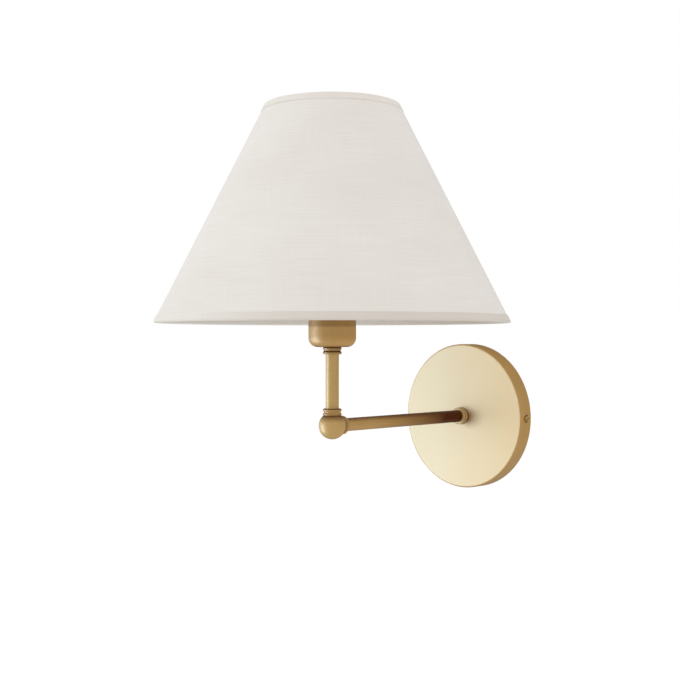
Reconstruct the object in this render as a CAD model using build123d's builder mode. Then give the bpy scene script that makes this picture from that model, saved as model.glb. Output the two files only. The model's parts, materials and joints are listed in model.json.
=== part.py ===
from build123d import *
from math import atan2, cos, degrees, hypot, radians, sin, sqrt
import os

os.makedirs("parts", exist_ok=True)

# A wall lamp with a linen shade. Sizes are in millimetres.
# The wall is at Y = 0, the lamp reaches into the room along -Y, and +Z is up.
# The origin is the centre of the wall plate's back face, on the arm's axis.

# Fits
thread_gap = 0.05  # radial, where a thread screws in
slip_gap = 0.1  # radial, where a piece slips over another
seat_gap = 0.05  # between flat faces that turn or lift apart
running_gap = 0.08  # radial, where the shade ring runs on its thread
clear_gap = 0.3  # where a moving piece must not touch

# Wall plate, a turned brass dish that is open towards the wall
plate_diameter = 140
plate_depth = 16
plate_face = 2.5
plate_rim = 3
plate_edge_round = 2
plate_inner_round = 1

# Slotted screws in the bracket's tabs, backed out through wide holes in the plate's rim
rim_screw_diameter = 5
rim_screw_length = 10
rim_screw_proud = 2.2
rim_screw_edge = 0.3
rim_screw_slot_width = 0.9
rim_screw_slot_depth = 1.3
rim_screw_slot_turn = 26
rim_screw_from_wall = 7.5
rim_hole_diameter = 7.4
rim_hole_mouth = 0.3

# Wall bracket, a steel strap with a tab bent up at each end
bracket_sheet = 2
bracket_height = 64
bracket_end_gap = 5
bracket_bend_round = 1.8
tab_width = 16
tab_tip_gap = 1
tab_corner = 3
tab_rim_gap = 3
slot_spacing = 80
slot_length = 12
slot_width = 5.2
cable_hole_diameter = 24

# Terminal block on the bracket
pole_count = 3
pole_pitch = 9.5
block_width = 15
block_depth = 9
block_drop = 22
block_corner = 1.5
insert_diameter = 4.6
insert_bore = 3.2
insert_sunk = 1
clamp_screw_diameter = 2.5
clamp_screw_spacing = 7.2
clamp_screw_sunk = 0.8
block_screw_diameter = 3
block_screw_head = 5
block_screw_head_height = 2
screw_slot_width = 0.7
screw_slot_depth = 0.8

# Earth tag and its screw on the bracket
earth_x = 24
earth_z = 17
earth_tag_diameter = 8.4
earth_tag_sheet = 0.8
earth_barrel_diameter = 3.6
earth_barrel_length = 6
earth_screw_diameter = 4
earth_screw_head = 7
earth_screw_head_height = 2.6

# Arm and stem: threaded pipes inside thin sleeves, with a ball between them
arm_reach = 180.5
pipe_diameter = 10
pipe_bore = 7.6
tube_wall = 0.65
stem_tube_length = 46.9
ball_diameter = 23.5
ball_stem_flat_diameter = 16
ball_arm_flat_diameter = 18.2
pipe_end_in_ball = 5.4
washer_diameter = 18
washer_thickness = 1
nut_across_flats = 14
nut_thickness = 3
pipe_past_nut = 1.5

# Turned collar: a bead, a cove and a bead
collar_length = 6.2
collar_root_diameter = 14.8
collar_bead_height = 0.75
collar_cove_depth = 0.2
collar_cove_width = 1.1

# Cup under the shade
cup_diameter = 41.1
cup_height = 42
cup_wall = 1.2
cup_floor = 1.5
cup_corner_round = 8

# Lampholder
holder_diameter = 37.8
holder_wall = 2
holder_cap_floor = 4
holder_wiring_height = 10
holder_cap_round = 3
core_height = 13.6
core_gap = 0.2
joint_rise = 3.4  # from the core's foot up to the joint of cap and skirt
joint_height = 4
joint_wall = 1
flange_diameter = 46
flange_thickness = 2.4
skirt_thread_diameter = 39.2
skirt_thread_length = 15.6
shell_diameter = 27.5
shell_wall = 0.5
shell_height = 22
shell_lip = 4.5
terminal_offset = 8
terminal_width = 5.4
terminal_height = 6
terminal_bore = 3
terminal_screw_diameter = 2.5
terminal_screw_length = 5
terminal_screw_drop = 2
side_strip_width = 4
side_strip_sheet = 0.8
tongue_width = 5.6
tongue_sheet = 0.6
tongue_travel = 1
tongue_rise = 4
tongue_tip_length = 5
tongue_foot_length = 3.4

# Shade ring, the nut that clamps the shade on the lampholder
shade_ring_diameter = 51
shade_ring_height = 8
shade_ring_grips = 12
shade_ring_grip_radius = 1.6

# Shade: linen over a stiff lining, on two wire rings, carried by a seat ring with spokes
shade_bottom_diameter = 305.2
shade_top_diameter = 116.1
shade_height = 187.2
shade_drop = 23.8  # from the seat down to the bottom edge
fabric_thickness = 0.5
lining_thickness = 0.5
layer_gap = 0.05
hem_height = 6.5
top_hem_height = 5.8
hem_thickness = 0.5
hem_fold_height = 7.5
edge_wire_diameter = 3
seat_ring_diameter = 56
seat_ring_sheet = 1.2
seat_ring_hole_gap = 0.6
spoke_count = 3
spoke_diameter = 3
spoke_first_angle = 134.4

# Lamp
bulb_diameter = 60
bulb_length = 108
bulb_neck_diameter = 24
bulb_neck_top = 27
bulb_glass_wall = 0.8
bulb_cap_diameter = 25.9
bulb_cap_wall = 0.4
bulb_cap_bottom = 7
bulb_cap_top = 26
bulb_contact_diameter = 9.6
bulb_contact_height = 1.5

# Inner wires
wire_diameter = 2
wire_spread = 1.3  # each lamp wire beside the pipe's axis
wire_bend = 9
wire_easy_bend = 12
wire_mouth_bend = 4.5
wire_pipe_lead = 3  # from the mouth of the arm pipe to the bend
wire_tag_lead = 4  # from the earth tag to the bend
wire_past_screw = 1.5

# Places from the wall outwards
plate_radius = plate_diameter / 2
plate_inside = plate_depth - plate_face
rim_inside_radius = plate_radius - plate_rim
stem_y = -(plate_depth + arm_reach)
washer_back = plate_inside - washer_thickness
arm_nut_back = washer_back - nut_thickness
arm_pipe_start = arm_nut_back - pipe_past_nut

# Places along the stem, as heights above the arm's axis
pipe_radius = pipe_diameter / 2
sleeve_bore = pipe_diameter + 2 * slip_gap
sleeve_diameter = sleeve_bore + 2 * tube_wall
ball_radius = ball_diameter / 2
ball_stem_seat = sqrt(ball_radius**2 - (ball_stem_flat_diameter / 2) ** 2)
ball_arm_seat = sqrt(ball_radius**2 - (ball_arm_flat_diameter / 2) ** 2)
stem_tube_bottom = ball_stem_seat + collar_length
stem_tube_top = stem_tube_bottom + stem_tube_length
cup_bottom = stem_tube_top + collar_length
cup_floor_top = cup_bottom + cup_floor
holder_bottom = cup_floor_top + nut_thickness
holder_floor_top = holder_bottom + holder_cap_floor
core_bottom = holder_floor_top + holder_wiring_height
core_top = core_bottom + core_height
cup_top = cup_bottom + cup_height
shade_seat = cup_top + flange_thickness
skirt_top = shade_seat + skirt_thread_length
bulb_tip = core_top + tongue_travel + clear_gap
shade_bottom = shade_seat - shade_drop
shade_top = shade_bottom + shade_height

stem_axis = Axis((0, stem_y, 0), (0, 0, 1))
stem_section = Plane.XZ.offset(-stem_y)  # radius across, height up
arm_section = Plane.XY  # radius across, -Y towards the room


def stem_level(height):
    """A level plane across the stem's axis."""
    return Plane((0, stem_y, height))


def arm_level(distance):
    """An upright plane across the arm's axis, facing the room, so far from the wall."""
    return Plane.XZ.offset(distance)


def ring_section(inner_radius, outer_radius, bottom, top):
    """The half section of a plain ring."""
    Polygon(
        (inner_radius, bottom),
        (outer_radius, bottom),
        (outer_radius, top),
        (inner_radius, top),
        align=None,
    )


def slotted_screw(face, diameter, length, head_diameter, head_height):
    """A screw into a plane's back from a slotted round head that stands on it."""
    with BuildSketch(face) as head:
        Circle(head_diameter / 2)
    extrude(head.sketch, amount=head_height)
    with BuildSketch(face) as shank:
        Circle(diameter / 2)
    extrude(shank.sketch, amount=-length)
    with BuildSketch(face.offset(head_height)) as slot:
        Rectangle(head_diameter, screw_slot_width)
    extrude(slot.sketch, amount=-screw_slot_depth, mode=Mode.SUBTRACT)


# Wall bracket
tab_outside = rim_inside_radius - tab_rim_gap
bracket_radius = rim_inside_radius - bracket_end_gap
tab_tip = plate_inside - tab_tip_gap
block_length = pole_count * pole_pitch
block_front = bracket_sheet + block_depth
insert_y = -(bracket_sheet + block_depth / 2)
pole_places = [(pole - (pole_count - 1) / 2) * pole_pitch for pole in range(pole_count)]
block_screw_x = pole_places[0] + pole_pitch / 2

with BuildPart() as wall_bracket:
    with BuildSketch(Plane.XZ):
        Circle(bracket_radius)
        Rectangle(2 * bracket_radius, bracket_height, mode=Mode.INTERSECT)
        Rectangle(2 * tab_outside, tab_width)
        Circle(cable_hole_diameter / 2, mode=Mode.SUBTRACT)
        with Locations((-slot_spacing / 2, 0), (slot_spacing / 2, 0)):
            SlotOverall(slot_length, slot_width, mode=Mode.SUBTRACT)
        with Locations((earth_x, earth_z)):
            Circle(earth_screw_diameter / 2 + thread_gap, mode=Mode.SUBTRACT)
        with Locations((block_screw_x, -block_drop)):
            Circle(block_screw_diameter / 2 + thread_gap, mode=Mode.SUBTRACT)
    extrude(amount=bracket_sheet)
    for side in (-1, 1):
        tab_plane = Plane((side * tab_outside, 0, 0), x_dir=(0, -1, 0), z_dir=(side, 0, 0))
        with BuildSketch(tab_plane):
            with Locations(((bracket_sheet + tab_tip) / 2, 0)):
                Rectangle(tab_tip - bracket_sheet, tab_width)
            with Locations((rim_screw_from_wall, 0)):
                Circle(rim_screw_diameter / 2 + thread_gap, mode=Mode.SUBTRACT)
        extrude(amount=-bracket_sheet)
    tab_tips = wall_bracket.edges().filter_by(Axis.X).group_by(Axis.Y)[0]
    fillet(tab_tips, tab_corner)
    bend_edges = wall_bracket.edges().filter_by(Axis.Z).group_by(Axis.Y)[-1].group_by(Axis.X)
    fillet(bend_edges[0] + bend_edges[-1], bracket_bend_round)
wall_bracket.part.label = "wall_bracket"
export_step(wall_bracket.part, "parts/wall_bracket.step")

# Wall plate
arm_hole_radius = pipe_radius + slip_gap

with BuildPart() as backplate:
    with BuildSketch(arm_section):
        ring_section(0, plate_radius, -plate_depth, 0)
        fillet(vertices().group_by(Axis.Y)[0].sort_by(Axis.X)[-1], plate_edge_round)
    revolve(axis=Axis.Y)
    with BuildSketch(arm_section):
        ring_section(0, rim_inside_radius, -plate_inside, 0)
        fillet(vertices().group_by(Axis.Y)[0].sort_by(Axis.X)[-1], plate_inner_round)
    revolve(axis=Axis.Y, mode=Mode.SUBTRACT)
    with Locations(arm_level(plate_depth)):
        Hole(arm_hole_radius)
    for side in (-1, 1):
        rim_plane = Plane((side * plate_radius, -rim_screw_from_wall, 0), z_dir=(side, 0, 0))
        with Locations(rim_plane):
            CounterSinkHole(
                rim_hole_diameter / 2,
                rim_hole_diameter / 2 + rim_hole_mouth,
                depth=2 * plate_rim,
                counter_sink_angle=90,
            )
backplate.part.label = "backplate"
export_step(backplate.part, "parts/backplate.step")

# Screws through the plate's rim, with a slot across the outer end
with BuildPart() as rim_screws:
    for side in (-1, 1):
        head_plane = Plane(
            (side * (plate_radius + rim_screw_proud), -rim_screw_from_wall, 0),
            x_dir=(0, 1, 0),
            z_dir=(side, 0, 0),
        )
        with BuildSketch(head_plane):
            Circle(rim_screw_diameter / 2)
        extrude(amount=-rim_screw_length)
        ends = rim_screws.faces().filter_by(Axis.X).group_by(Axis.X)[-1 if side > 0 else 0]
        chamfer(ends.edges(), rim_screw_edge)
        with BuildSketch(head_plane):
            Rectangle(
                rim_screw_diameter,
                rim_screw_slot_width,
                rotation=side * rim_screw_slot_turn,
            )
        extrude(amount=-rim_screw_slot_depth, mode=Mode.SUBTRACT)
rim_screws.part.label = "rim_screws"
export_step(rim_screws.part, "parts/rim_screws.step")

# Terminal block with its inserts and screws
insert_length = block_width - 2 * insert_sunk
block_bottom = -block_drop - block_width / 2
clamp_places = [
    (x, -block_drop + side * clamp_screw_spacing / 2) for x in pole_places for side in (-1, 1)
]
clamp_head = block_front - clamp_screw_sunk
clamp_tip = -insert_y + wire_diameter / 2 + slip_gap

with BuildPart() as terminal_block:
    with BuildSketch(arm_level(bracket_sheet)):
        with Locations((0, -block_drop)):
            RectangleRounded(block_length, block_width, block_corner)
    extrude(amount=block_depth)
    with BuildSketch(Plane.XY.offset(block_bottom)):
        with Locations(*[(x, insert_y) for x in pole_places]):
            Circle(insert_diameter / 2 + slip_gap)
    extrude(amount=block_width, mode=Mode.SUBTRACT)
    with BuildSketch(arm_level(block_front)):
        with Locations(*clamp_places):
            Circle(clamp_screw_diameter / 2 + slip_gap)
    extrude(amount=-block_depth / 2, mode=Mode.SUBTRACT)
    with BuildSketch(arm_level(bracket_sheet)):
        with Locations((block_screw_x, -block_drop)):
            Circle(block_screw_diameter / 2 + slip_gap)
    extrude(amount=block_depth, mode=Mode.SUBTRACT)
terminal_block.part.label = "terminal_block"
export_step(terminal_block.part, "parts/terminal_block.step")

with BuildPart() as terminal_inserts:
    with BuildSketch(Plane.XY.offset(block_bottom + insert_sunk)):
        with Locations(*[(x, insert_y) for x in pole_places]):
            Circle(insert_diameter / 2)
            Circle(insert_bore / 2, mode=Mode.SUBTRACT)
    extrude(amount=insert_length)
    with BuildSketch(arm_level(block_front)):
        with Locations(*clamp_places):
            Circle(clamp_screw_diameter / 2 + thread_gap)
    extrude(amount=-block_depth / 2, mode=Mode.SUBTRACT)
terminal_inserts.part.label = "terminal_inserts"
export_step(terminal_inserts.part, "parts/terminal_inserts.step")

with BuildPart() as terminal_screws:
    with BuildSketch(arm_level(clamp_head)):
        with Locations(*clamp_places):
            Circle(clamp_screw_diameter / 2)
    extrude(amount=clamp_tip - clamp_head)
    with BuildSketch(arm_level(clamp_head)):
        with Locations(*clamp_places):
            Rectangle(clamp_screw_diameter, screw_slot_width)
    extrude(amount=-screw_slot_depth, mode=Mode.SUBTRACT)
terminal_screws.part.label = "terminal_screws"
export_step(terminal_screws.part, "parts/terminal_screws.step")

with BuildPart() as block_screw:
    block_screw_face = arm_level(block_front)
    block_screw_face.origin += Vector(block_screw_x, 0, -block_drop)
    slotted_screw(
        block_screw_face,
        block_screw_diameter,
        block_front,
        block_screw_head,
        block_screw_head_height,
    )
block_screw.part.label = "block_screw"
export_step(block_screw.part, "parts/block_screw.step")

# Earth tag and its screw
with BuildPart() as earth_tag:
    with BuildSketch(arm_level(bracket_sheet)):
        with Locations((earth_x, earth_z)):
            Circle(earth_tag_diameter / 2)
            Circle(earth_screw_diameter / 2 + slip_gap, mode=Mode.SUBTRACT)
    extrude(amount=earth_tag_sheet)
    barrel_y = -(bracket_sheet + earth_barrel_diameter / 2)
    barrel_top = earth_z - earth_screw_head / 2 - slip_gap
    with BuildSketch(Plane((earth_x, barrel_y, barrel_top - earth_barrel_length))):
        Circle(earth_barrel_diameter / 2)
    extrude(amount=earth_barrel_length)
    with BuildSketch(Plane((earth_x, barrel_y, barrel_top - earth_barrel_length))):
        Circle(wire_diameter / 2 + slip_gap)
    extrude(amount=earth_barrel_length - earth_tag_sheet, mode=Mode.SUBTRACT)
earth_tag.part.label = "earth_tag"
export_step(earth_tag.part, "parts/earth_tag.step")

with BuildPart() as earth_screw:
    earth_screw_face = arm_level(bracket_sheet + earth_tag_sheet)
    earth_screw_face.origin += Vector(earth_x, 0, earth_z)
    slotted_screw(
        earth_screw_face,
        earth_screw_diameter,
        bracket_sheet + earth_tag_sheet,
        earth_screw_head,
        earth_screw_head_height,
    )
earth_screw.part.label = "earth_screw"
export_step(earth_screw.part, "parts/earth_screw.step")

# Threaded pipes
with BuildPart() as arm_pipe:
    with BuildSketch(arm_level(arm_pipe_start)):
        Circle(pipe_radius)
        Circle(pipe_bore / 2, mode=Mode.SUBTRACT)
    extrude(amount=-stem_y - pipe_end_in_ball - arm_pipe_start)
arm_pipe.part.label = "arm_pipe"
export_step(arm_pipe.part, "parts/arm_pipe.step")

with BuildPart() as stem_pipe:
    with BuildSketch(stem_level(pipe_end_in_ball)):
        Circle(pipe_radius)
        Circle(pipe_bore / 2, mode=Mode.SUBTRACT)
    extrude(amount=holder_floor_top - pipe_end_in_ball)
stem_pipe.part.label = "stem_pipe"
export_step(stem_pipe.part, "parts/stem_pipe.step")

# Sleeves over the pipes
arm_tube_start = plate_depth + collar_length
arm_tube_end = -stem_y - ball_arm_seat - collar_length

with BuildPart() as arm_tube:
    with BuildSketch(arm_level(arm_tube_start)):
        Circle(sleeve_diameter / 2)
        Circle(sleeve_bore / 2, mode=Mode.SUBTRACT)
    extrude(amount=arm_tube_end - arm_tube_start)
arm_tube.part.label = "arm_tube"
export_step(arm_tube.part, "parts/arm_tube.step")

with BuildPart() as stem_tube:
    with BuildSketch(stem_level(stem_tube_bottom)):
        Circle(sleeve_diameter / 2)
        Circle(sleeve_bore / 2, mode=Mode.SUBTRACT)
    extrude(amount=stem_tube_length)
stem_tube.part.label = "stem_tube"
export_step(stem_tube.part, "parts/stem_tube.step")

# Turned collars, two on the arm and two on the stem
collar_root = collar_root_diameter / 2
collar_crest = collar_root + collar_bead_height
bead_length = (collar_length - collar_cove_width) / 2


def collar_section():
    """Half of a collar's profile, radius across and length up, starting at the origin."""
    cove_start = bead_length
    cove_end = bead_length + collar_cove_width
    with BuildLine() as outline:
        Line((pipe_radius + slip_gap, 0), (collar_root, 0))
        ThreePointArc((collar_root, 0), (collar_crest, bead_length / 2), (collar_root, cove_start))
        ThreePointArc(
            (collar_root, cove_start),
            (collar_root - collar_cove_depth, collar_length / 2),
            (collar_root, cove_end),
        )
        ThreePointArc(
            (collar_root, cove_end),
            (collar_crest, collar_length - bead_length / 2),
            (collar_root, collar_length),
        )
        Line((collar_root, collar_length), (pipe_radius + slip_gap, collar_length))
        Line((pipe_radius + slip_gap, collar_length), (pipe_radius + slip_gap, 0))
    make_face(outline.line)


collars = {
    "wall_collar": (Plane((0, -plate_depth - collar_length, 0)), Axis.Y),
    "arm_elbow_collar": (Plane((0, stem_y + ball_arm_seat, 0)), Axis.Y),
    "stem_elbow_collar": (Plane((0, stem_y, ball_stem_seat), x_dir=(1, 0, 0), z_dir=(0, -1, 0)), stem_axis),
    "cup_collar": (Plane((0, stem_y, stem_tube_top), x_dir=(1, 0, 0), z_dir=(0, -1, 0)), stem_axis),
}
for collar_name, (collar_plane, collar_axis) in collars.items():
    with BuildPart() as collar:
        with BuildSketch(collar_plane):
            collar_section()
        revolve(axis=collar_axis)
    collar.part.label = collar_name
    export_step(collar.part, f"parts/{collar_name}.step")

# Ball elbow, with a flat and a threaded hole for each pipe
with BuildPart() as elbow_ball:
    with Locations((0, stem_y, 0)):
        Sphere(ball_radius)
    arm_mouth = Plane((0, stem_y + ball_arm_seat, 0), z_dir=(0, 1, 0))
    for mouth, seat in ((arm_mouth, ball_arm_seat), (stem_level(ball_stem_seat), ball_stem_seat)):
        with BuildSketch(mouth):
            Circle(ball_radius)
        extrude(amount=ball_radius, mode=Mode.SUBTRACT)
        with BuildSketch(mouth):
            Circle(pipe_radius + thread_gap)
        extrude(amount=-seat, mode=Mode.SUBTRACT)
    with Locations((0, stem_y, 0)):
        Sphere(pipe_radius + thread_gap, mode=Mode.SUBTRACT)
elbow_ball.part.label = "elbow_ball"
export_step(elbow_ball.part, "parts/elbow_ball.step")

# Washer and locknuts
with BuildPart() as arm_washer:
    with BuildSketch(arm_level(washer_back)):
        Circle(washer_diameter / 2)
        Circle(pipe_radius + slip_gap, mode=Mode.SUBTRACT)
    extrude(amount=washer_thickness)
arm_washer.part.label = "arm_washer"
export_step(arm_washer.part, "parts/arm_washer.step")

locknuts = {"arm_locknut": arm_level(arm_nut_back), "cup_locknut": stem_level(cup_floor_top)}
for nut_name, nut_plane in locknuts.items():
    with BuildPart() as locknut:
        with BuildSketch(nut_plane):
            RegularPolygon(nut_across_flats / 2, 6, major_radius=False)
            Circle(pipe_radius + thread_gap, mode=Mode.SUBTRACT)
        extrude(amount=nut_thickness)
    locknut.part.label = nut_name
    export_step(locknut.part, f"parts/{nut_name}.step")

# Cup
cup_radius = cup_diameter / 2
cup_inside = cup_radius - cup_wall

with BuildPart() as holder_cup:
    with BuildSketch(stem_section):
        ring_section(0, cup_radius, cup_bottom, cup_top)
        fillet(vertices().group_by(Axis.Y)[0].sort_by(Axis.X)[-1], cup_corner_round)
    revolve(axis=stem_axis)
    with BuildSketch(stem_section):
        ring_section(0, cup_inside, cup_floor_top, cup_top)
        fillet(vertices().group_by(Axis.Y)[0].sort_by(Axis.X)[-1], cup_corner_round - cup_wall)
    revolve(axis=stem_axis, mode=Mode.SUBTRACT)
    with BuildSketch(stem_level(cup_bottom)):
        Circle(pipe_radius + slip_gap)
    extrude(amount=cup_floor, mode=Mode.SUBTRACT)
holder_cup.part.label = "holder_cup"
export_step(holder_cup.part, "parts/holder_cup.step")

# Lampholder cap
holder_radius = holder_diameter / 2
joint_radius = holder_radius - holder_wall
core_radius = joint_radius - joint_wall
ledge_radius = core_radius - holder_wall
cap_joint_bottom = core_bottom + joint_rise
cap_joint_top = cap_joint_bottom + joint_height

with BuildPart() as holder_cap:
    with BuildSketch(stem_section):
        ring_section(0, holder_radius - core_gap, holder_bottom, cap_joint_bottom)
        fillet(vertices().group_by(Axis.Y)[0].sort_by(Axis.X)[-1], holder_cap_round)
        ring_section(0, joint_radius, cap_joint_bottom, cap_joint_top)
    revolve(axis=stem_axis)
    with BuildSketch(stem_section):
        ring_section(0, ledge_radius, holder_floor_top, core_bottom)
        ring_section(0, core_radius + slip_gap, core_bottom, cap_joint_top)
        ring_section(0, pipe_radius + thread_gap, holder_bottom, holder_floor_top)
    revolve(axis=stem_axis, mode=Mode.SUBTRACT)
holder_cap.part.label = "holder_cap"
export_step(holder_cap.part, "parts/holder_cap.step")

# Lampholder core, with a pocket for each terminal and a well for the centre contact
terminal_top = core_bottom + terminal_height
strip_x = -terminal_offset - terminal_width / 2 + side_strip_sheet
well_floor = core_top - tongue_rise
tongue_foot_x = terminal_offset - terminal_width / 2

with BuildPart() as holder_core:
    with BuildSketch(stem_level(core_bottom)):
        Circle(core_radius)
    extrude(amount=core_height)
    with BuildSketch(stem_level(core_bottom)):
        with Locations((-terminal_offset, 0), (terminal_offset, 0)):
            Rectangle(terminal_width + 2 * slip_gap, terminal_width + 2 * slip_gap)
        with Locations((-terminal_offset, -core_radius / 2), (terminal_offset, -core_radius / 2)):
            Rectangle(terminal_screw_diameter + 2 * slip_gap, core_radius)
    extrude(amount=terminal_height + slip_gap, mode=Mode.SUBTRACT)
    with BuildSketch(stem_level(terminal_top)):
        with Locations((strip_x, 0)):
            Rectangle(side_strip_sheet + 2 * slip_gap, side_strip_width + 2 * slip_gap)
    extrude(amount=core_height, mode=Mode.SUBTRACT)
    with BuildSketch(stem_level(well_floor)):
        well_start = -tongue_tip_length / 2 - clear_gap
        well_end = tongue_foot_x + tongue_foot_length / 2 + clear_gap
        with Locations(((well_start + well_end) / 2, 0)):
            Rectangle(well_end - well_start, tongue_width + 2 * clear_gap)
    extrude(amount=tongue_rise, mode=Mode.SUBTRACT)
holder_core.part.label = "holder_core"
export_step(holder_core.part, "parts/holder_core.step")

# Terminals in the lampholder, and their clamp screws
terminal_bottom = terminal_top - terminal_height
terminal_screw_z = terminal_top - terminal_screw_drop

with BuildPart() as holder_terminals:
    with BuildSketch(stem_level(terminal_bottom)):
        with Locations((-terminal_offset, 0), (terminal_offset, 0)):
            Rectangle(terminal_width, terminal_width)
            Circle(terminal_bore / 2, mode=Mode.SUBTRACT)
    extrude(amount=terminal_height)
    with BuildSketch(arm_level(-stem_y)):
        with Locations((-terminal_offset, terminal_screw_z), (terminal_offset, terminal_screw_z)):
            Circle(terminal_screw_diameter / 2 + thread_gap)
    extrude(amount=terminal_width, mode=Mode.SUBTRACT)
holder_terminals.part.label = "holder_terminals"
export_step(holder_terminals.part, "parts/holder_terminals.step")

with BuildPart() as holder_terminal_screws:
    screw_tip = -stem_y + wire_diameter / 2 + slip_gap
    for side in (-1, 1):
        with BuildSketch(arm_level(screw_tip)):
            with Locations((side * terminal_offset, terminal_screw_z)):
                Circle(terminal_screw_diameter / 2)
        extrude(amount=terminal_screw_length)
        with BuildSketch(arm_level(screw_tip + terminal_screw_length)):
            with Locations((side * terminal_offset, terminal_screw_z)):
                Rectangle(terminal_screw_diameter, screw_slot_width)
        extrude(amount=-screw_slot_depth, mode=Mode.SUBTRACT)
holder_terminal_screws.part.label = "holder_terminal_screws"
export_step(holder_terminal_screws.part, "parts/holder_terminal_screws.step")

with BuildPart() as side_contact:
    with BuildSketch(stem_level(terminal_top)):
        with Locations((strip_x, 0)):
            Rectangle(side_strip_sheet, side_strip_width)
    extrude(amount=core_top - terminal_top)
side_contact.part.label = "side_contact"
export_step(side_contact.part, "parts/side_contact.step")

# Centre contact, a bent tongue that the lamp presses down
tongue_low = well_floor + tongue_travel + clear_gap + tongue_sheet / 2
tongue_high = bulb_tip - clear_gap - tongue_sheet / 2

with BuildPart() as centre_contact:
    with BuildSketch(stem_section):
        with BuildLine():
            Polyline(
                (tongue_foot_x + tongue_foot_length / 2, tongue_low),
                (tongue_foot_x - tongue_foot_length / 2, tongue_low),
                (tongue_tip_length / 2, tongue_high),
                (-tongue_tip_length / 2, tongue_high),
            )
        trace(line_width=tongue_sheet)
    extrude(amount=tongue_width / 2, both=True)
centre_contact.part.label = "centre_contact"
export_step(centre_contact.part, "parts/centre_contact.step")

# Screw shell, the threaded sleeve that takes the lamp
shell_radius = shell_diameter / 2

with BuildPart() as screw_shell:
    with BuildSketch(stem_section):
        ring_section(shell_radius - shell_wall, shell_radius, core_top, core_top + shell_height)
        ring_section(shell_radius - shell_lip, shell_radius, core_top, core_top + shell_wall)
    revolve(axis=stem_axis)
screw_shell.part.label = "screw_shell"
export_step(screw_shell.part, "parts/screw_shell.step")

# Lampholder skirt, with the flange that rests on the cup and the thread for the shade ring
thread_radius = skirt_thread_diameter / 2

with BuildPart() as holder_skirt:
    with BuildSketch(stem_section):
        ring_section(0, holder_radius, cap_joint_bottom, cup_top)
        ring_section(0, flange_diameter / 2, cup_top, shade_seat)
        ring_section(0, thread_radius, shade_seat, skirt_top)
    revolve(axis=stem_axis)
    with BuildSketch(stem_section):
        ring_section(0, joint_radius + thread_gap, cap_joint_bottom, cap_joint_top)
        ring_section(0, core_radius + slip_gap, cap_joint_top, core_top)
        ring_section(0, shell_radius + slip_gap, core_top, skirt_top)
    revolve(axis=stem_axis, mode=Mode.SUBTRACT)
holder_skirt.part.label = "holder_skirt"
export_step(holder_skirt.part, "parts/holder_skirt.step")

# Shade ring
seat_ring_bottom = shade_seat + seat_gap
seat_ring_top = seat_ring_bottom + seat_ring_sheet
ring_bottom = seat_ring_top + seat_gap
shade_ring_radius = shade_ring_diameter / 2

with BuildPart() as shade_ring:
    with BuildSketch(stem_level(ring_bottom)):
        Circle(shade_ring_radius)
        Circle(thread_radius + running_gap, mode=Mode.SUBTRACT)
        with PolarLocations(shade_ring_radius, shade_ring_grips):
            Circle(shade_ring_grip_radius, mode=Mode.SUBTRACT)
    extrude(amount=shade_ring_height)
shade_ring.part.label = "shade_ring"
export_step(shade_ring.part, "parts/shade_ring.step")

# The shade's wall leans in by the same angle all the way up
shade_bottom_radius = shade_bottom_diameter / 2
shade_slope = (shade_bottom_radius - shade_top_diameter / 2) / shade_height
shade_lean = atan2(shade_slope, 1)
lining_depth = fabric_thickness + layer_gap
wall_depth = lining_depth + lining_thickness
edge_wire_radius = edge_wire_diameter / 2


def wall_radius(height, depth):
    """The radius at a height, so deep under the linen's outer face."""
    return shade_bottom_radius - (height - shade_bottom) * shade_slope - depth / cos(shade_lean)


def wall_section(outer_depth, inner_depth, bottom, top):
    """The half section of one layer of the shade's wall."""
    Polygon(
        (wall_radius(bottom, outer_depth), bottom),
        (wall_radius(top, outer_depth), top),
        (wall_radius(top, inner_depth), top),
        (wall_radius(bottom, inner_depth), bottom),
        align=None,
    )


# Shade layers, from edge to edge inside the hems
layer_bottom = shade_bottom + hem_thickness + layer_gap
layer_top = shade_top - hem_thickness - layer_gap

with BuildPart() as shade_fabric:
    with BuildSketch(stem_section):
        wall_section(0, fabric_thickness, layer_bottom, layer_top)
    revolve(axis=stem_axis)
shade_fabric.part.label = "shade_fabric"
export_step(shade_fabric.part, "parts/shade_fabric.step")

with BuildPart() as shade_lining:
    with BuildSketch(stem_section):
        wall_section(lining_depth, wall_depth, layer_bottom, layer_top)
    revolve(axis=stem_axis)
shade_lining.part.label = "shade_lining"
export_step(shade_lining.part, "parts/shade_lining.step")

# Wire rings along both edges of the shade
bottom_wire_z = layer_bottom + edge_wire_radius
top_wire_z = layer_top - edge_wire_radius
wire_depth = wall_depth + edge_wire_radius + layer_gap
bottom_wire_r = wall_radius(bottom_wire_z, wire_depth)
top_wire_r = wall_radius(top_wire_z, wire_depth)

edge_wires = {
    "shade_bottom_wire": (bottom_wire_r, bottom_wire_z),
    "shade_top_wire": (top_wire_r, top_wire_z),
}
for wire_name, wire_place in edge_wires.items():
    with BuildPart() as edge_wire:
        with BuildSketch(stem_section):
            with Locations(wire_place):
                Circle(edge_wire_radius)
        revolve(axis=stem_axis)
    edge_wire.part.label = wire_name
    export_step(edge_wire.part, f"parts/{wire_name}.step")

# Seat ring, and the spokes that run from it down to the bottom wire
seat_ring_radius = seat_ring_diameter / 2
spoke_angles = [spoke_first_angle + turn * 360 / spoke_count for turn in range(spoke_count)]
spoke_start = (seat_ring_radius + clear_gap, (seat_ring_bottom + seat_ring_top) / 2)
spoke_run = bottom_wire_r - spoke_start[0]
spoke_fall = spoke_start[1] - bottom_wire_z
spoke_length = hypot(spoke_run, spoke_fall) - edge_wire_radius - layer_gap


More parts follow.
